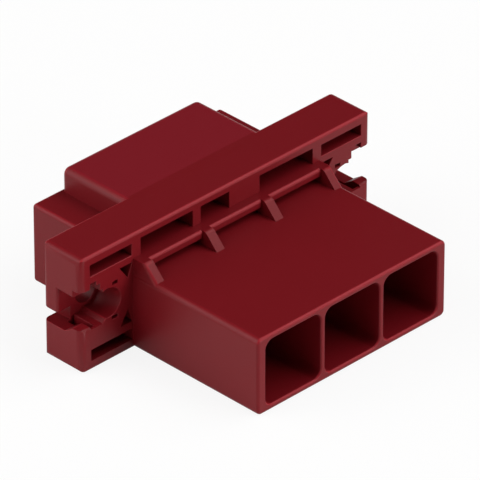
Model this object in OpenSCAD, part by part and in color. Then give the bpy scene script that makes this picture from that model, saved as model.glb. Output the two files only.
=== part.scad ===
// Panel-mount power connector housing: one moulding with a hood of open sockets in front,
// a flange with screw ears across the middle and a base with the wire entries behind.
// X runs along the flange, the sockets face -Y, and the flat underside lies at Z = 0.

/* [Sockets] */
// Number of sockets side by side
socket_count = 3; // [2:1:5]
// Distance between the centres of neighbouring sockets
socket_pitch = 10.16; // [10:0.02:12]
// Width of one socket
socket_w = 9.4; // [7.5:0.05:9.5]
// Corner radius of a socket
socket_r = 1.2; // [0.6:0.1:2]
// Radius of the rounding at the mouth of a socket
socket_lip = 0.3; // [0.1:0.05:0.4]

/* [Hood] */
// Length of the hood in front of the flange
hood_len = 21.6; // [16:0.05:30]
// Height of the hood
hood_h = 10.85; // [9:0.05:11.4]
// Wall at each end of the row of sockets
hood_side_wall = 1.4; // [1:0.05:2]
// Wall above and below the sockets
hood_wall = 0.78; // [0.7:0.02:1.5]
// Radius of the hood's lengthwise edges
hood_edge_r = 0.72; // [0.52:0.02:1]
// Radius of the hood's front edges
hood_front_r = 0.38; // [0.1:0.02:0.5]

/* [Flange] */
// Thickness of the flange
flange_t = 6.65; // [6:0.05:9]
// Height of the flange
flange_h = 16.3; // [15.6:0.1:18]
// Length of each ear beyond the side of the hood
ear_len = 8.8; // [8.5:0.05:11]
// Radius of the flange's long edges
flange_long_r = 0.4; // [0.1:0.05:0.5]
// Radius of the edges round the flange's end faces
flange_end_r = 0.9; // [0.55:0.05:1]
// Radius of the flange's upright edges
flange_upright_r = 0.9; // [0.1:0.05:1]
// Wall above the windows
flange_rim = 1.1; // [0.8:0.05:1.3]

/* [Windows and shelf] */
// Clear height between the hood and the shelf
shelf_gap = 0.8; // [0.6:0.05:1]
// Thickness of the shelf
shelf_t = 1.25; // [0.9:0.05:1.35]
// Reach of the shelf in front of the flange
shelf_reach = 1.5; // [1:0.05:2]
// Radius of the shelf's front edge
shelf_r = 0.4; // [0.1:0.05:0.4]
// Width of the posts between the windows
post_w = 1.4; // [1:0.05:2]
// Wall behind the windows and the ear slots
window_back = 1.45; // [1:0.05:2]
// Wall between an outer window and the ear slot beside it
post_end = 1.55; // [1:0.05:2]
// Offset of the posts from the walls between the sockets
post_shift = -0.2; // [-0.5:0.05:0.5]
// Bay whose window is half closed, counted from 0
key_bay = 1; // [0:1:1]
// Width of the half-closed window
key_w = 4.85; // [3:0.05:7]
// Width of the gussets that prop the shelf between the sockets
gusset_w = 1.35; // [0.8:0.05:1.6]
// Width of the gusset at each end of the shelf
end_gusset_w = 1.4; // [1.1:0.05:1.6]
// Distance of an end gusset from the hood's side
end_gusset_inset = 0.1; // [0.05:0.05:0.3]
// Radius along the outer edge of an end gusset's slope
end_gusset_r = 0.5; // [0.2:0.05:0.6]
// Reach of a gusset's top in front of the shelf
gusset_lead = 0.5; // [0.45:0.05:0.8]
// Run of a gusset's slope along the hood
gusset_run = 1.95; // [1.5:0.05:4]
// Radius of the crest between a gusset's top and its slope
crest_r = 0.8; // [0.2:0.05:0.9]

/* [Ears] */
// Wall above and below the long slots of an ear
slot_rim = 1.3; // [0.9:0.05:1.5]
// Height of the long slot along each edge of an ear
slot_h = 1.6; // [1.15:0.05:1.8]
// Bar between a slot and the bush seat
ear_bar = 1.05; // [0.85:0.05:1.25]
// Wall across the end of an ear
end_wall = 1.7; // [1.3:0.05:1.9]
// Web between the hood's side and the hollows of an ear
ear_web = 0.1; // [0.1:0.05:0.4]
// Plate across the back of an ear
ear_plate = 2.6; // [2:0.05:3]
// Bush seat's axis, measured in from the end face
seat_inset = 4.7; // [4.5:0.05:5]
// Rise of the bush seat's axis above the middle of the flange
seat_rise = 0.2; // [0:0.05:0.5]
// Radius of the bush seat
seat_r = 2.1; // [1.9:0.05:2.3]
// Radius of the screw hole through the ear plate
screw_r = 1.65; // [1.1:0.05:1.8]
// Reach of the jaw tips past the seat's axis
jaw_tip = 0.9; // [0.7:0.05:1.1]
// Steps of the lead-in on the upper jaw
jaw_step = 0.5; // [0.3:0.05:0.6]
// Reach of the lower jaw's tooth past the seat's axis
tooth_tip = 0.5; // [0.3:0.05:0.6]
// Height and lean of the lower jaw's tooth
tooth_h = 0.5; // [0.3:0.05:0.7]
// Thickness of the lip in front of the lower jaw
lip_t = 0.4; // [0.3:0.05:1]
// Width of the relief slot at a jaw's root
relief_w = 0.9; // [0.5:0.05:1]
// Height of the relief slot
relief_h = 0.45; // [0.25:0.05:0.45]
// Middle of the relief slot, measured in from the seat's axis
relief_in = 1.1; // [0.9:0.05:1.3]
// Middle of the relief slot, measured up or down from the seat's axis
relief_out = 2.45; // [2.4:0.05:2.6]
// Width of the corner pocket between a slot's bar and the seat's wall
corner_w = 2; // [1.4:0.05:2.2]
// Distance of the corner pocket's apex from the web
corner_lean = 0.7; // [0.4:0.05:1]
// Distance of the corner pocket's apex above or below the seat's axis
corner_rise = 2.2; // [1.8:0.05:2.8]
// Gap between the jaws and the end wall
jaw_gap = 0.95; // [0.8:0.05:1.1]
// Height of the mouth's sill in the end wall
mouth_sill = 5.2; // [5:0.05:5.6]
// Height of the mouth's ceiling in the end wall
mouth_top = 10.5; // [10:0.05:10.8]
// Height of the nib in front of the mouth's sill
nib_h = 0.95; // [0.6:0.05:1.4]
// Thickness of the nib
nib_t = 1.45; // [0.8:0.05:1.6]
// Bevel on the nib's front edge
nib_bevel = 0.3; // [0.1:0.05:0.5]
// Length of the ramp from the nib down to the sill
nib_ramp = 1.4; // [0.8:0.05:1.8]
// Depth of the recess in front of the mouth's ceiling
hook_t = 1.4; // [1:0.05:2]
// Height of the recess above the mouth's ceiling
hook_h = 1.05; // [0.6:0.05:1.3]
// Height of the gap behind the mouth, across the ear plate's end
mouth_back_h = 1.95; // [1.4:0.05:2.4]

/* [Base] */
// Length of the base behind the flange
base_len = 11.1; // [8:0.05:16]
// Clearance under the base
base_lift = 1.7; // [1:0.05:2]
// Radius of the base's lengthwise edges
base_edge_r = 0.5; // [0.45:0.05:0.8]
// Radius of the edges round the base's rear face
base_rear_r = 0.4; // [0.1:0.05:0.4]

/* [Top block] */
// Distance from the base's rear face to the block
block_setback = 0.35; // [0.3:0.05:2]
// Distance from each side of the base to the block
block_inset = 4.5; // [3:0.05:6]
// Offset of the block from the middle of the base
block_shift = 0.2; // [-0.5:0.05:0.5]
// Radius of the block's lengthwise edges
block_edge_r = 1; // [0.85:0.05:1.5]
// Radius of the edges round the block's rear face
block_rear_r = 0.8; // [0.2:0.05:0.8]

/* [Wire entries] */
// Width of one wire entry
entry_w = 8.6; // [7:0.05:9]
// Wall above and below the wire entries
entry_wall = 1.3; // [1.1:0.05:1.6]
// Corner radius of a wire entry
entry_r = 0.8; // [0.4:0.05:1.5]
// Wall between a wire entry and its socket
entry_floor = 3; // [2:0.05:5]
// Distance from the flange's front face to the bottom of the wire entries
entry_stop = 2; // [1:0.05:3]
// Width of the contact passage between a wire entry and its socket
passage_w = 6.4; // [4:0.05:7]
// Height of the contact passage
passage_h = 3; // [2:0.05:4]

/* [Hidden] */
$fn = 64;

moulding_red = [0.42, 0.06, 0.09];
// Depth by which joined shapes enter each other
join = 2;
// Extra reach of a cut past an open face
past = 1;
// Share of its radius at which a rounding cut is centred, so that it crosses the face beside it
settle = 0.98;

hood_w = (socket_count - 1) * socket_pitch + socket_w + 2 * hood_side_wall;
socket_h = hood_h - 2 * hood_wall;
socket_z = hood_h / 2;
socket_back = entry_stop - entry_floor;

flange_w = hood_w + 2 * ear_len;
flange_mid = flange_h / 2;
rear_y = flange_t + base_len;

shelf_low = hood_h + shelf_gap;
shelf_top = shelf_low + shelf_t;
window_top = flange_h - flange_rim;
window_depth = flange_t - window_back;
window_end = hood_w / 2 + ear_web - post_end;

gusset_front = -shelf_reach - gusset_lead;
gusset_foot = hood_h - hood_edge_r;
gusset_tilt = atan2(shelf_top - hood_h, gusset_run);

base_top = shelf_top;
block_w = hood_w - 2 * block_inset;
entry_low = base_lift + entry_wall;
entry_top = base_top - entry_wall;

// An ear's own plane: u runs outwards and w upwards from the seat's axis
seat_x = flange_w / 2 - seat_inset;
seat_z = flange_mid + seat_rise;
wall_u = seat_inset - end_wall;
web_u = seat_inset - ear_len + ear_web;
jaw_end = wall_u - jaw_gap;
slot_rise = flange_mid - slot_rim - slot_h;
jaw_rise = slot_rise - ear_bar;
ear_depth = flange_t - ear_plate;

function socket_x(i) = (i - (socket_count - 1) / 2) * socket_pitch;
function wall_x(i) = (i - socket_count / 2) * socket_pitch;
function window_left(i) = i == 0 ? -window_end : wall_x(i) + post_shift + post_w / 2;
function window_right(i) = i == key_bay ? window_left(i) + key_w
    : i == socket_count - 1 ? window_end
    : wall_x(i + 1) + post_shift - post_w / 2;
function on_circle(r, u) = sqrt(r * r - u * u);

// Flat outline: a rectangle about its centre with round corners
module round_rect(w, h, r) {
    square([w - 2 * r, h], center = true);
    square([w, h - 2 * r], center = true);
    for (x = [-1, 1], y = [-1, 1])
        translate([x * (w / 2 - r), y * (h / 2 - r)]) circle(r);
}

// Extrusions of a flat outline along each axis, centred on the origin
module along_x(length) rotate([90, 0, 90]) linear_extrude(length, center = true) children();
module along_y(length) rotate([90, 0, 0]) linear_extrude(length, center = true) children();
module along_z(length) linear_extrude(length, center = true) children();

// Extrusion of a flat (x, z) outline from y = from to y = to
module between_y(from, to) translate([0, (from + to) / 2, 0]) along_y(to - from) children();

// Slab about the origin: its (x, y) outline has one corner radius, its upper and lower rims another
module soft_slab(size, corner_r, rim_r) {
    straight = [size.x - 2 * corner_r, size.y - 2 * corner_r];
    along_x(straight.x) round_rect(size.y, size.z, rim_r);
    along_y(straight.y) round_rect(size.x, size.z, rim_r);
    for (x = [0, 1], y = [0, 1])
        mirror([x, 0, 0]) mirror([0, y, 0])
            translate([straight.x / 2, straight.y / 2, 0]) rotate_extrude(angle = 90)
                intersection() {
                    round_rect(2 * corner_r, size.z, rim_r);
                    translate([0, -size.z / 2]) square([corner_r, size.z]);
                }
}

// Block between two corners: one radius for its edges along y, one for the rims of its end faces
module soft_block(low, high, edge_r, rim_r) {
    size = high - low;
    translate((low + high) / 2) rotate([90, 0, 0])
        soft_slab([size.x, size.z, size.y], edge_r, rim_r);
}

// The flange's plain slab
module flange_slab() {
    intersection() {
        soft_block(
            [-flange_w / 2, 0, 0],
            [flange_w / 2, flange_t, flange_h],
            flange_end_r, flange_long_r
        );
        translate([0, flange_t / 2, flange_mid]) along_z(flange_h)
            round_rect(flange_w, flange_t, flange_upright_r);
    }
}

// The hood's plain block, joined into the flange
module hood_block() {
    soft_block(
        [-hood_w / 2, -hood_len, 0],
        [hood_w / 2, join, hood_h],
        hood_edge_r, hood_front_r
    );
}

// The base's plain block, joined into the flange
module base_block() {
    soft_block(
        [-hood_w / 2, flange_t - join, base_lift],
        [hood_w / 2, rear_y, base_top],
        base_edge_r, base_rear_r
    );
}

// The block on top of the base, level with the flange
module top_block() {
    translate([block_shift, 0, 0]) soft_block(
        [-block_w / 2, flange_t - join, base_top - join],
        [block_w / 2, rear_y - block_setback, flange_h],
        block_edge_r, block_rear_r
    );
}

// The thin shelf over the hood: a plate with a round front edge
module shelf() {
    translate([0, -shelf_reach, shelf_low]) along_x(hood_w - 2 * hood_edge_r) {
        translate([shelf_r, 0]) square([shelf_reach + join - shelf_r, shelf_t]);
        translate([0, shelf_r]) square([shelf_r, shelf_t - 2 * shelf_r]);
        for (z = [shelf_r, shelf_t - shelf_r]) translate([shelf_r, z]) circle(shelf_r);
    }
}

// A gusset of that width from the shelf down to the hood, round where its top turns into its slope
module gusset(w) {
    drop = shelf_top - gusset_foot;
    turn = crest_r * tan(gusset_tilt / 2);
    crest = [gusset_front + turn, shelf_top - crest_r];
    along_x(w) {
        polygon([
            [join, gusset_foot],
            [gusset_front - drop / tan(gusset_tilt), gusset_foot],
            [gusset_front, shelf_top] - turn * [cos(gusset_tilt), sin(gusset_tilt)],
            crest,
            [crest.x, shelf_top],
            [join, shelf_top],
        ]);
        translate(crest) circle(crest_r);
    }
}

// The gusset at the right end of the shelf: the outer edge of its slope is round
module end_gusset() {
    outer = hood_w / 2 - end_gusset_inset;
    bar_w = end_gusset_w + join;
    bar_h = shelf_top - gusset_foot + join - gusset_front;
    intersection() {
        translate([outer + (past - end_gusset_w) / 2, 0, 0]) gusset(end_gusset_w + past);
        translate([outer - bar_w / 2, gusset_front, shelf_top]) rotate([gusset_tilt, 0, 0])
            translate([0, 0, (1 - settle) * end_gusset_r - bar_h / 2])
                along_y(2 * bar_h) round_rect(bar_w, bar_h, end_gusset_r);
    }
}

// The gussets: one in line with each wall between two sockets and one at each end
module gussets() {
    for (i = [1:socket_count - 1]) translate([wall_x(i), 0, 0]) gusset(gusset_w);
    for (side = [0, 1]) mirror([side, 0, 0]) end_gusset();
}

// One socket with the rounding at its mouth
module socket() {
    mouth_w = socket_w - 2 * socket_r;
    mouth_h = socket_h - 2 * socket_r;
    between_y(-hood_len - past, socket_back) round_rect(socket_w, socket_h, socket_r);
    translate([0, -hood_len, 0]) {
        for (x = [-1, 1], z = [-1, 1])
            translate([x * mouth_w / 2, 0, z * mouth_h / 2]) rotate([-90, 0, 0])
                rotate_extrude() intersection() {
                    flare(0);
                    translate([0, -past]) square([socket_r + socket_lip, past + socket_lip]);
                }
        along_z(mouth_h) flare(mouth_w / 2);
        rotate([0, 90, 0]) along_z(mouth_w) flare(mouth_h / 2);
    }
}

// Section of a socket's mouth across one direction: its sides curve out to the front face
module flare(half) {
    reach = half + socket_r + socket_lip;
    depth = socket_lip * settle;
    difference() {
        translate([-reach, -past]) square([2 * reach, past + depth]);
        for (x = [-1, 1]) translate([x * reach, depth]) circle(socket_lip);
    }
}

// Wire entry behind one socket, with the contact passage between them
module wire_entry() {
    translate([0, 0, (entry_low + entry_top) / 2])
        between_y(entry_stop, rear_y + past)
            round_rect(entry_w, entry_top - entry_low, entry_r);
    translate([0, 0, socket_z])
        between_y(socket_back - past, entry_stop + past)
            square([passage_w, passage_h], center = true);
}

// Windows in the flange above the shelf, one to a bay, the keyed one half closed
module windows() {
    for (i = [0:socket_count - 1])
        translate([window_left(i), -past, shelf_top]) cube([
            window_right(i) - window_left(i),
            past + window_depth,
            window_top - shelf_top,
        ]);
}

// Outline of the pocket in the front of an ear, in the ear's own plane
module ear_pocket() {
    root = jaw_rise - seat_rise;
    throat = on_circle(seat_r, jaw_tip);
    tooth = on_circle(seat_r, tooth_tip);
    circle(seat_r);
    // Above: the stepped lead-in under the upper jaw and the gap beside the end wall
    polygon([
        [tooth_tip, 0],
        [jaw_tip, 0],
        [jaw_tip, throat + jaw_step],
        [jaw_tip + jaw_step, throat + jaw_step],
        [jaw_tip + jaw_step, throat + 3 * jaw_step],
        [jaw_end, throat + 3 * jaw_step],
        [jaw_end, root],
        [wall_u, root],
        [wall_u, 0],
    ]);
    // Below: the slope of the tooth and the floor behind the lip
    polygon([
        [tooth_tip, 0],
        [tooth_tip, -tooth],
        [tooth_tip + tooth_h, -tooth - tooth_h],
        [wall_u, -tooth - tooth_h],
        [wall_u, 0],
    ]);
    for (side = [-1, 1]) {
        translate([-relief_in, side * relief_out]) square([relief_w, relief_h], center = true);
        corner_root = side * jaw_rise - seat_rise;
        polygon([
            [web_u, corner_root],
            [web_u + corner_w, corner_root],
            [web_u + corner_lean, side * corner_rise],
        ]);
    }
}

// Outline of the mouth through an end wall, in the (y, z) plane
module end_mouth() {
    nib_top = mouth_sill + nib_h;
    polygon([
        [-past, nib_top - nib_bevel - past],
        [nib_bevel, nib_top],
        [nib_t, nib_top],
        [nib_t + nib_ramp, mouth_sill],
        [flange_t + past, mouth_sill],
        [flange_t + past, mouth_sill + mouth_back_h],
        [ear_depth, mouth_sill + mouth_back_h],
        [ear_depth, mouth_top],
        [hook_t, mouth_top],
        [hook_t, mouth_top + hook_h],
        [-past, mouth_top + hook_h],
    ]);
}

// All that is cut from the right ear
module ear_cuts() {
    translate([seat_x, 0, seat_z]) {
        between_y(-past, ear_depth) ear_pocket();
        between_y(lip_t, ear_depth)
            translate([jaw_end, -jaw_rise - seat_rise]) square([jaw_gap, jaw_rise + seat_rise]);
        between_y(ear_depth - past, flange_t + past) circle(screw_r);
    }
    for (side = [0, 1])
        translate([seat_x, 0, flange_mid]) mirror([0, 0, side])
            between_y(-past, window_depth)
                translate([web_u, slot_rise]) square([wall_u - web_u, slot_h]);
    mouth_len = past + end_wall + jaw_gap / 2;
    translate([flange_w / 2 + past - mouth_len / 2, 0, 0]) along_x(mouth_len) end_mouth();
}

module housing() {
    color(moulding_red) difference() {
        union() {
            flange_slab();
            hood_block();
            base_block();
            top_block();
            shelf();
            gussets();
        }
        for (i = [0:socket_count - 1]) {
            translate([socket_x(i), 0, socket_z]) socket();
            translate([socket_x(i), 0, 0]) wire_entry();
        }
        windows();
        for (side = [0, 1]) mirror([side, 0, 0]) ear_cuts();
    }
}

housing();
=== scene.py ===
"""Deep red moulded housing of a three-way rectangular connector, on a studio floor.

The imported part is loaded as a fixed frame. One operator finishes the moulding over it, one sets the stage.
"""

import math

import bmesh
import bpy
from bpy.props import FloatProperty, FloatVectorProperty, PointerProperty
from mathutils import Matrix, Vector
from mathutils.geometry import intersect_line_line_2d, intersect_point_line


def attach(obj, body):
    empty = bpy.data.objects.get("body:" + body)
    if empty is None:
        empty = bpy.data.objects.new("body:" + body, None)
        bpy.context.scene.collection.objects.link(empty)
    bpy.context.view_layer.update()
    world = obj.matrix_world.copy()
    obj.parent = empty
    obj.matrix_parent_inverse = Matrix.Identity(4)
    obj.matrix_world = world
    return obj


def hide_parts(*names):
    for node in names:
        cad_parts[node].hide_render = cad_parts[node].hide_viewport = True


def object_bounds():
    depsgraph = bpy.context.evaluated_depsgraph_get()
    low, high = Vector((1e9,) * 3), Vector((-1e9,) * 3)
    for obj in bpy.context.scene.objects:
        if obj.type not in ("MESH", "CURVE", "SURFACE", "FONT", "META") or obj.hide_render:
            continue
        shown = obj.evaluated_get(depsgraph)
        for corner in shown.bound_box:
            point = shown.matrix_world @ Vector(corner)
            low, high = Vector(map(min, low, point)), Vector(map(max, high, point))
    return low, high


bl_info = {
    "name": "Connector housing looks",
    "version": (1, 0, 0),
    "blender": (4, 5, 0),
    "location": "View3D > Sidebar > Connector",
    "description": "Finishes the moulded connector housing and sets its studio",
    "category": "Object",
}

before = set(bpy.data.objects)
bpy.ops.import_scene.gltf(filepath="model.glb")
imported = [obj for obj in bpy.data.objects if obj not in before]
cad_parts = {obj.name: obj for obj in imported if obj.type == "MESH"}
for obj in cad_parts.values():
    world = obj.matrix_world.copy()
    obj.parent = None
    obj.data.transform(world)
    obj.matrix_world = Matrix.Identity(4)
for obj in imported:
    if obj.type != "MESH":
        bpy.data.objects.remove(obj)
CAD_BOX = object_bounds()
MM = 0.001

# Points nearer to each other than this are one, and a triangle below this area is too small to face anywhere.
WELD = 0.001 * MM
SPECK = 2e-12

# Largest angles between faces in a plane, in a rounding, beside a rounding, and in a mesh without folds.
FLAT, CREASE, SHARP, FOLD = (math.radians(angle) for angle in (0.05, 20, 50, 132))

# Tries at rounding the edges, and how far from an edge and from its end a fault blames it, in radii.
ROUNDS = 20
BESIDE, BEYOND = 2.2, 4.0

# Faces across the rounding of a mouth and across a broken edge.
LIP_STEPS, BREAK_STEPS = 4, 2

# A rounding whose direction rises more than 1 / FACING gets the full painted highlight.
FACING = 1.4

# Grain values between which nearly all of the noise lies.
GRAIN_LOW, GRAIN_HIGH = 0.3, 0.7

# Gap between the housing and the floor, and the rise of a direction over which the studio's white ends.
FLOOR_DROP = 0.02 * MM
GLOW_LOW, GLOW_HIGH = 0.07, 0.14

# Width of the camera's sensor in millimetres, and the nearest and farthest that it sees in metres.
SENSOR = 36.0
NEAR, FAR = 0.01, 20.0


def linear(hex_colour):
    """Linear red, green and blue of an sRGB hex colour."""
    shares = [int(hex_colour[i : i + 2], 16) / 255 for i in (1, 3, 5)]
    return tuple(s / 12.92 if s <= 0.04045 else ((s + 0.055) / 1.055) ** 2.4 for s in shares)


def add_node(tree, kind, settings=(), links=()):
    """A node of that kind, with (attribute or socket, value) settings and (socket, source) links."""
    node = tree.nodes.new(kind)
    for name, value in settings:
        if isinstance(name, str) and name in node.bl_rna.properties:
            setattr(node, name, value)
        else:
            node.inputs[name].default_value = value
    for socket, source in links:
        tree.links.new(source, node.inputs[socket])
    return node


class MouldingSettings(bpy.types.PropertyGroup):
    """Sizes and colours of the moulded housing."""

    edge_break: FloatProperty(
        name="Edge break",
        description="Radius that moulding leaves on an edge that the drawing leaves sharp",
        default=0.1 * MM,
        unit="LENGTH",
    )
    mouth_lip: FloatProperty(
        name="Mouth lip",
        description="Radius of the edges where the ears' mouths open on the end faces",
        default=0.35 * MM,
        unit="LENGTH",
    )
    resin: FloatVectorProperty(
        name="Resin",
        description="Colour of the dyed resin",
        default=linear("#711018"),
        size=3,
        subtype="COLOR",
    )
    resin_deep: FloatVectorProperty(
        name="Deep resin",
        description="Colour where the flow left the dye denser",
        default=linear("#6D0F16"),
        size=3,
        subtype="COLOR",
    )
    # Painted highlight: the paler red that upward roundings take in place of the light catching them.
    resin_painted_highlight: FloatVectorProperty(
        name="Painted highlight red",
        description="Colour of the painted highlight on upward roundings",
        default=linear("#8E1D26"),
        size=3,
        subtype="COLOR",
    )
    resin_field: FloatVectorProperty(
        name="Pale top field",
        description="Colour of the paler tone on top of the rear block",
        default=linear("#76151F"),
        size=3,
        subtype="COLOR",
    )
    field_start: FloatProperty(
        name="Field start",
        description="How far behind the flange's front the pale top field begins",
        default=6.65 * MM,
        unit="LENGTH",
    )
    field_level: FloatProperty(
        name="Field level",
        description="Height above which the pale top field lies",
        default=16.2 * MM,
        unit="LENGTH",
    )
    tight: FloatProperty(
        name="Painted highlight radius",
        description="Radius of rounding up to which an upward edge takes the full painted highlight",
        default=0.4 * MM,
        unit="LENGTH",
    )
    roughness: FloatProperty(
        name="Roughness",
        description="Middle roughness of the spark-eroded skin",
        default=0.39,
        min=0.0,
        max=1.0,
        subtype="FACTOR",
    )
    roughness_spread: FloatProperty(
        name="Roughness spread",
        description="How far the grain takes the roughness up and down",
        default=0.05,
        min=0.0,
        max=0.3,
        subtype="FACTOR",
    )
    flow_size: FloatProperty(
        name="Flow mottle",
        description="Width of the soft clouds that the melt leaves",
        default=7 * MM,
        unit="LENGTH",
    )
    grain_size: FloatProperty(
        name="Skin grain",
        description="Width of one crater of the spark-eroded skin, drawn coarser than life to show",
        default=0.22 * MM,
        unit="LENGTH",
    )
    grain_depth: FloatProperty(
        name="Grain depth",
        description="Depth of that grain",
        default=0.006 * MM,
        unit="LENGTH",
    )


class StageSettings(bpy.types.PropertyGroup):
    """Camera, floor and lamps."""

    azimuth: FloatProperty(
        name="Azimuth",
        description="Where the camera stands round the housing",
        default=math.radians(-44.78),
        subtype="ANGLE",
    )
    elevation: FloatProperty(
        name="Elevation",
        description="How far the camera stands above the floor's plane",
        default=math.radians(32.14),
        subtype="ANGLE",
    )
    distance: FloatProperty(
        name="Distance",
        description="From the camera to the point it looks at",
        default=900.38 * MM,
        unit="LENGTH",
    )
    focal_mm: FloatProperty(
        name="Focal length",
        description="Lens of the camera in millimetres, on a 36 mm sensor",
        default=547.85,
    )
    target: FloatVectorProperty(
        name="Target",
        description="Point that the camera looks at",
        default=(1.98 * MM, -0.15 * MM, 7.56 * MM),
        size=3,
        subtype="XYZ",
        unit="LENGTH",
    )
    floor_size: FloatProperty(
        name="Floor",
        description="Side of the paper floor",
        default=6.0,
        unit="LENGTH",
    )
    paper: FloatVectorProperty(
        name="Paper",
        description="Colour of the paper floor",
        default=linear("#F4F3F2"),
        size=3,
        subtype="COLOR",
    )
    paper_white: FloatProperty(
        name="White paper share",
        description="How far the camera sees the paper as plain white, the rest being its own shading",
        default=0.88,
        min=0.0,
        max=1.0,
        subtype="FACTOR",
    )
    paper_mirrored: FloatProperty(
        name="Mirrored share",
        description="How much of that white the housing's own gloss sees",
        default=0.55,
        min=0.0,
        max=1.0,
        subtype="FACTOR",
    )
    horizon: FloatProperty(
        name="Horizon",
        description="Brightness of the studio low down round the floor",
        default=1.0,
        min=0.0,
    )
    ceiling: FloatProperty(
        name="Ceiling",
        description="Brightness of the unlit studio higher up",
        default=0.03,
        min=0.0,
    )


def folded(bm):
    """Ends of the edges at which a mesh lies back on itself."""
    bm.normal_update()
    return [v.co.copy() for e in bm.edges if e.is_manifold and e.calc_face_angle() > FOLD for v in e.verts]


def crossed(bm):
    """Points at which the outline of a flat face crosses itself."""
    points = []
    for face in bm.faces:
        flat = face.normal.to_track_quat("Z", "Y").to_matrix().transposed()
        outline = [(flat @ loop.vert.co).to_2d() for loop in face.loops]
        count = len(outline)
        for i in range(count):
            a, b = outline[i], outline[(i + 1) % count]
            for j in range(i + 2, count - (i == 0)):
                hit = intersect_line_line_2d(a, b, outline[j], outline[(j + 1) % count])
                if hit is not None:
                    share = (hit - a).length / (b - a).length
                    points.append(face.verts[i].co.lerp(face.verts[(i + 1) % count].co, share))
    return points


def flipped(bm):
    """Corners of the triangles that face against the face they fill."""
    points = []
    for loops in bm.calc_loop_triangles():
        a, b, c = (loop.vert.co for loop in loops)
        turned = (b - a).cross(c - a)
        if turned.length > SPECK and turned.dot(loops[0].face.normal) < 0:
            points += [a.copy(), b.copy(), c.copy()]
    return points


def crowded(edge, spots, radius):
    """Whether an edge ends so close to one of the spots that breaking it spoilt the mesh there."""
    start, end = (v.co for v in edge.verts)
    for spot in spots:
        share = intersect_point_line(spot, start, end)[1]
        on_edge = start.lerp(end, min(max(share, 0), 1))
        near_end = min((start - spot).length, (end - spot).length)
        if (on_edge - spot).length < BESIDE * radius and near_end < BEYOND * radius:
            return True
    return False


def crisp(edge):
    """Whether two faces meet outwards at an edge that has no rounding."""
    limit = SHARP if any(face.smooth for face in edge.link_faces) else CREASE
    return edge.is_convex and edge.calc_face_angle() > limit


def round_edges(base, chosen, radius, segments):
    """A mesh with those edges of the base rounded, but for the few that lie too close together.

    If faults are left after the last try, the base is kept as it is.
    """
    base.edges.ensure_lookup_table()
    for _ in range(ROUNDS):
        bm = base.copy()
        bm.edges.ensure_lookup_table()
        edges = [bm.edges[i] for i in chosen]
        made = bmesh.ops.bevel(
            bm,
            geom=edges,
            offset=radius,
            segments=segments,
            profile=0.5,
            affect="EDGES",
        )
        for face in made["faces"]:
            face.smooth = True
        spots = folded(bm) + crossed(bm) + flipped(bm)
        kept = [i for i in chosen if not crowded(base.edges[i], spots, radius)]
        if len(kept) == len(chosen):
            base.free()
            return bm
        chosen = kept
        bm.free()
    return base


def mark_painted_highlight(bm, tight):
    """Gives each corner on an upward rounding its share of painted highlight: 1 on a tight one, less on a
    wide one, else 0.
    """
    painted_highlight_share = bm.loops.layers.float.new("painted_highlight_share")
    for vert in bm.verts:
        edges = [edge for edge in vert.link_edges if edge.smooth]
        if any(edge.link_faces[0].smooth != edge.link_faces[1].smooth for edge in edges):
            continue
        loops = [loop for loop in vert.link_loops if loop.face.smooth]
        area = sum(loop.face.calc_area() / len(loop.face.verts) for loop in loops)
        bend = sum(edge.calc_face_angle_signed() * edge.calc_length() / 2 for edge in edges)
        if not loops or bend <= 0:
            continue
        facing = sum((loop.face.normal * loop.face.calc_area() for loop in loops), Vector()).normalized()
        share = min(1, (tight * bend / area) ** 2) * min(1, max(0, FACING * facing.z))
        for loop in loops:
            loop[painted_highlight_share] = share


def even_flags(bm):
    """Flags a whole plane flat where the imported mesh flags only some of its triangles."""
    found = [face for face in bm.faces if not face.smooth]
    while found:
        for edge in found.pop().edges:
            for face in edge.link_faces:
                if face.smooth and edge.calc_face_angle() < FLAT:
                    face.smooth = False
                    found.append(face)


def finish_edges(mesh, end, mouth_lip, edge_break, tight):
    """Rounds what the drawing leaves sharp: first the mouths on the end faces, then every other edge."""
    bm = bmesh.new()
    bm.from_mesh(mesh)
    bmesh.ops.remove_doubles(bm, verts=bm.verts, dist=WELD)
    even_flags(bm)
    bmesh.ops.dissolve_limit(bm, angle_limit=FLAT, verts=bm.verts, edges=bm.edges)
    mouths = [
        edge.index
        for edge in bm.edges
        if crisp(edge) and all(abs(vert.co.x) > end - WELD for vert in edge.verts)
    ]
    bm = round_edges(bm, mouths, mouth_lip, LIP_STEPS)
    others = [edge.index for edge in bm.edges if crisp(edge)]
    bm = round_edges(bm, others, edge_break, BREAK_STEPS)
    for edge in bm.edges:
        rounded = edge.is_convex and any(face.smooth for face in edge.link_faces)
        edge.smooth = edge.calc_face_angle() < (SHARP if rounded else CREASE)
    # Painted highlight: marks how much of the paler red each upward rounding gets.
    mark_painted_highlight(bm, tight)
    for face in bm.faces:
        face.smooth = True
    bm.to_mesh(mesh)
    bm.free()


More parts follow.
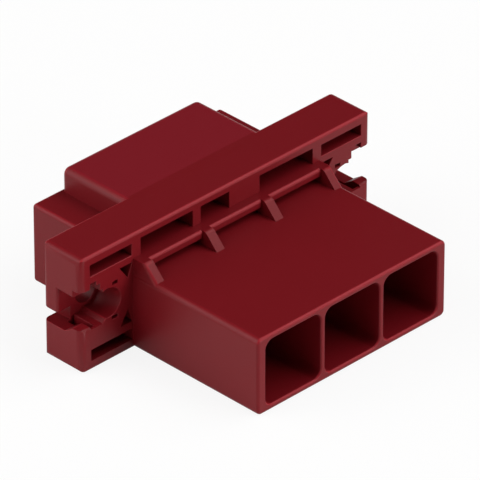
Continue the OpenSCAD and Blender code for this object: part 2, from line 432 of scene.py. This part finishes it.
def moulded_pbt(look):
    """Glass-filled PBT, injection moulded in a spark-eroded tool.

    It gives the eye a deep even red with a dull sheen, faint clouds from the flow of the melt,
    a fine grain that breaks up the sheen, a paler field on the rear block and a painted highlight on upward
    roundings.
    """
    material = bpy.data.materials.new("moulded_glass_filled_pbt")
    material.use_nodes = True
    tree = material.node_tree
    tree.nodes.clear()
    place = add_node(tree, "ShaderNodeTexCoord").outputs["Object"]
    clouds = add_node(
        tree,
        "ShaderNodeTexNoise",
        [("Scale", 1 / look.flow_size), ("Detail", 3.0), ("Roughness", 0.5)],
        [("Vector", place)],
    )
    grain = add_node(
        tree,
        "ShaderNodeTexNoise",
        [("Scale", 1 / look.grain_size), ("Detail", 2.0), ("Roughness", 0.6)],
        [("Vector", place)],
    )
    red = add_node(
        tree,
        "ShaderNodeMix",
        [("data_type", "RGBA"), (6, (*look.resin_deep, 1)), (7, (*look.resin, 1))],
        [(0, clouds.outputs["Fac"])],
    )
    parts = add_node(tree, "ShaderNodeSeparateXYZ", links=[(0, place)])
    # Paints the top of the rear block a paler red, behind field_start and above field_level.
    behind, above = (
        add_node(
            tree,
            "ShaderNodeMath",
            [("operation", "GREATER_THAN"), (1, start)],
            [(0, parts.outputs[axis])],
        )
        for axis, start in (("Y", look.field_start), ("Z", look.field_level))
    )
    field = add_node(
        tree,
        "ShaderNodeMath",
        [("operation", "MULTIPLY")],
        [(0, behind.outputs[0]), (1, above.outputs[0])],
    )
    skin = add_node(
        tree,
        "ShaderNodeMix",
        [("data_type", "RGBA"), (7, (*look.resin_field, 1))],
        [(0, field.outputs[0]), (6, red.outputs[2])],
    )
    # Painted highlight: upward roundings are mixed towards a paler red that stands in for the light on them.
    painted_highlight_share = add_node(tree, "ShaderNodeAttribute", [("attribute_name", "painted_highlight_share")])
    colour = add_node(
        tree,
        "ShaderNodeMix",
        [("data_type", "RGBA"), (7, (*look.resin_painted_highlight, 1))],
        [(0, painted_highlight_share.outputs["Fac"]), (6, skin.outputs[2])],
    )
    dull = add_node(
        tree,
        "ShaderNodeMapRange",
        [
            ("From Min", GRAIN_LOW),
            ("From Max", GRAIN_HIGH),
            ("To Min", look.roughness - look.roughness_spread),
            ("To Max", look.roughness + look.roughness_spread),
        ],
        [("Value", grain.outputs["Fac"])],
    )
    bump = add_node(
        tree,
        "ShaderNodeBump",
        [("Strength", 0.5), ("Distance", look.grain_depth)],
        [("Height", grain.outputs["Fac"])],
    )
    # The usual IOR of such a resin. The eroded skin scatters most of the mirror, so its level is low.
    shader = add_node(
        tree,
        "ShaderNodeBsdfPrincipled",
        [("IOR", 1.5), ("Specular IOR Level", 0.18)],
        [
            ("Base Color", colour.outputs[2]),
            ("Roughness", dull.outputs["Result"]),
            ("Normal", bump.outputs["Normal"]),
        ],
    )
    add_node(tree, "ShaderNodeOutputMaterial", links=[("Surface", shader.outputs[0])])
    return material


def coated_paper(stage):
    """Matt coated paper, rolled out as the floor: an even white that keeps a soft shadow."""
    material = bpy.data.materials.new("matt_coated_paper")
    material.use_nodes = True
    tree = material.node_tree
    tree.nodes.clear()
    ray = add_node(tree, "ShaderNodeLightPath")
    mirrored = add_node(
        tree,
        "ShaderNodeMath",
        [("operation", "MAXIMUM")],
        [(0, ray.outputs["Is Glossy Ray"]), (1, ray.outputs["Is Transmission Ray"])],
    )
    dimmed = add_node(
        tree,
        "ShaderNodeMath",
        [("operation", "MULTIPLY"), (1, stage.paper_mirrored)],
        [(0, mirrored.outputs[0])],
    )
    through = add_node(
        tree,
        "ShaderNodeMath",
        [("operation", "MAXIMUM")],
        [(0, ray.outputs["Is Camera Ray"]), (1, dimmed.outputs[0])],
    )
    share = add_node(
        tree,
        "ShaderNodeMath",
        [("operation", "MULTIPLY"), (1, stage.paper_white)],
        [(0, through.outputs[0])],
    )
    shaded = add_node(tree, "ShaderNodeBsdfDiffuse", [("Color", (*stage.paper, 1))])
    white = add_node(tree, "ShaderNodeEmission", [("Color", (1, 1, 1, 1)), ("Strength", 1.0)])
    both = add_node(
        tree,
        "ShaderNodeMixShader",
        links=[(0, share.outputs[0]), (1, shaded.outputs[0]), (2, white.outputs[0])],
    )
    add_node(tree, "ShaderNodeOutputMaterial", links=[("Surface", both.outputs[0])])
    return material


def toward(azimuth, elevation):
    """Direction from the housing to something at that azimuth, 0 in front, and elevation."""
    out = math.cos(elevation)
    return Vector((math.sin(azimuth) * out, -math.cos(azimuth) * out, math.sin(elevation)))


class CONNECTOR_OT_mould_housing(bpy.types.Operator):
    """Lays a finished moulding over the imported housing"""

    bl_idname = "connector.mould_housing"
    bl_label = "Mould housing"

    def execute(self, context):
        look = context.scene.connector_moulding
        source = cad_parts.get("housing")
        if source is None:
            raise RuntimeError("the packed part has no housing")
        mesh = source.data.copy()
        mesh.name = "housing_moulding"
        if "custom_normal" in mesh.attributes:
            mesh.attributes.remove(mesh.attributes["custom_normal"])
        finish_edges(mesh, CAD_BOX[1][0], look.mouth_lip, look.edge_break, look.tight)
        mesh.materials.clear()
        mesh.materials.append(moulded_pbt(look))
        moulding = bpy.data.objects.new("housing_moulding", mesh)
        context.scene.collection.objects.link(moulding)
        even = moulding.modifiers.new("even_shading", "WEIGHTED_NORMAL")
        even.mode = "FACE_AREA"
        even.weight = 100
        even.keep_sharp = True
        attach(moulding, "root")
        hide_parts("housing")
        return {"FINISHED"}


class CONNECTOR_OT_set_stage(bpy.types.Operator):
    """Sets the floor, the lamps, the studio round them and the camera"""

    bl_idname = "connector.set_stage"
    bl_label = "Set stage"

    def execute(self, context):
        stage = context.scene.connector_stage
        scene = context.scene
        scene.view_settings.view_transform = "Standard"
        target = Vector(stage.target)
        self.lay_floor(scene, stage)
        self.hang_lamps(scene, target)
        self.paint_studio(scene, stage)
        self.stand_camera(scene, stage, target)
        return {"FINISHED"}

    def lay_floor(self, scene, stage):
        """One sheet of paper under the housing, just clear of it."""
        half = stage.floor_size / 2
        around = ((-half, -half), (half, -half), (half, half), (-half, half))
        corners = [(x, y, -FLOOR_DROP) for x, y in around]
        mesh = bpy.data.meshes.new("floor")
        mesh.from_pydata(corners, [], [(0, 1, 2, 3)])
        mesh.materials.append(coated_paper(stage))
        floor = bpy.data.objects.new("floor", mesh)
        scene.collection.objects.link(floor)

    def hang_lamps(self, scene, target):
        """Softboxes: name, azimuth and elevation in degrees, distance and side in metres, watts."""
        boxes = [
            ("left_back_box", -138, 31, 0.8, 0.75, 3.05),
            ("left_side_box", -108, 31, 0.8, 0.75, 2.85),
            ("right_box", 52, 55, 0.8, 0.78, 5.3),
            ("low_front_box", 15, 10, 0.8, 0.28, 2.9),
        ]
        for name, azimuth, elevation, distance, side, watts in boxes:
            data = bpy.data.lights.new(name, "AREA")
            data.shape = "SQUARE"
            data.size = side
            data.energy = watts
            lamp = bpy.data.objects.new(name, data)
            way = toward(math.radians(azimuth), math.radians(elevation))
            lamp.location = target + way * distance
            lamp.rotation_euler = way.to_track_quat("Z", "Y").to_euler()
            lamp.visible_camera = False
            scene.collection.objects.link(lamp)

    def paint_studio(self, scene, stage):
        """A studio that is white low down and dim above, by the height of each direction."""
        world = bpy.data.worlds.new("studio")
        world.use_nodes = True
        tree = world.node_tree
        tree.nodes.clear()
        way = add_node(tree, "ShaderNodeTexCoord")
        parts = add_node(tree, "ShaderNodeSeparateXYZ", links=[(0, way.outputs["Generated"])])
        glow = add_node(
            tree,
            "ShaderNodeMapRange",
            [
                ("interpolation_type", "SMOOTHSTEP"),
                ("From Min", GLOW_LOW),
                ("From Max", GLOW_HIGH),
                ("To Min", stage.horizon),
                ("To Max", stage.ceiling),
            ],
            [("Value", parts.outputs["Z"])],
        )
        light = add_node(
            tree,
            "ShaderNodeBackground",
            [("Color", (1, 1, 1, 1))],
            [("Strength", glow.outputs["Result"])],
        )
        add_node(tree, "ShaderNodeOutputWorld", links=[("Surface", light.outputs[0])])
        scene.world = world

    def stand_camera(self, scene, stage, target):
        """The camera at the angle and distance that the settings give, upright."""
        back = toward(stage.azimuth, stage.elevation)
        right = Vector((math.cos(stage.azimuth), math.sin(stage.azimuth), 0))
        data = bpy.data.cameras.new("camera")
        data.sensor_width = SENSOR
        data.lens = stage.focal_mm
        data.clip_start = NEAR
        data.clip_end = FAR
        camera = bpy.data.objects.new("camera", data)
        camera.matrix_world = Matrix((right, back.cross(right), back)).transposed().to_4x4()
        camera.location = target + back * stage.distance
        scene.collection.objects.link(camera)
        scene.camera = camera


class VIEW3D_PT_connector(bpy.types.Panel):
    """Settings and steps of the connector's looks"""

    bl_label = "Connector"
    bl_space_type = "VIEW_3D"
    bl_region_type = "UI"
    bl_category = "Connector"

    def draw(self, context):
        steps = [
            (CONNECTOR_OT_mould_housing, MouldingSettings, context.scene.connector_moulding),
            (CONNECTOR_OT_set_stage, StageSettings, context.scene.connector_stage),
        ]
        for step, kind, settings in steps:
            box = self.layout.box()
            for name in kind.__annotations__:
                box.prop(settings, name)
            box.operator(step.bl_idname)


CLASSES = (
    MouldingSettings,
    StageSettings,
    CONNECTOR_OT_mould_housing,
    CONNECTOR_OT_set_stage,
    VIEW3D_PT_connector,
)


def register():
    """Registers the classes and hangs the settings on the scene."""
    for cls in CLASSES:
        bpy.utils.register_class(cls)
    bpy.types.Scene.connector_moulding = PointerProperty(type=MouldingSettings)
    bpy.types.Scene.connector_stage = PointerProperty(type=StageSettings)


def unregister():
    """Takes the settings off the scene and the classes out again."""
    del bpy.types.Scene.connector_stage
    del bpy.types.Scene.connector_moulding
    for cls in reversed(CLASSES):
        bpy.utils.unregister_class(cls)


def main():
    register()
    bpy.ops.connector.mould_housing()
    bpy.ops.connector.set_stage()


if __name__ == "__main__":
    main()
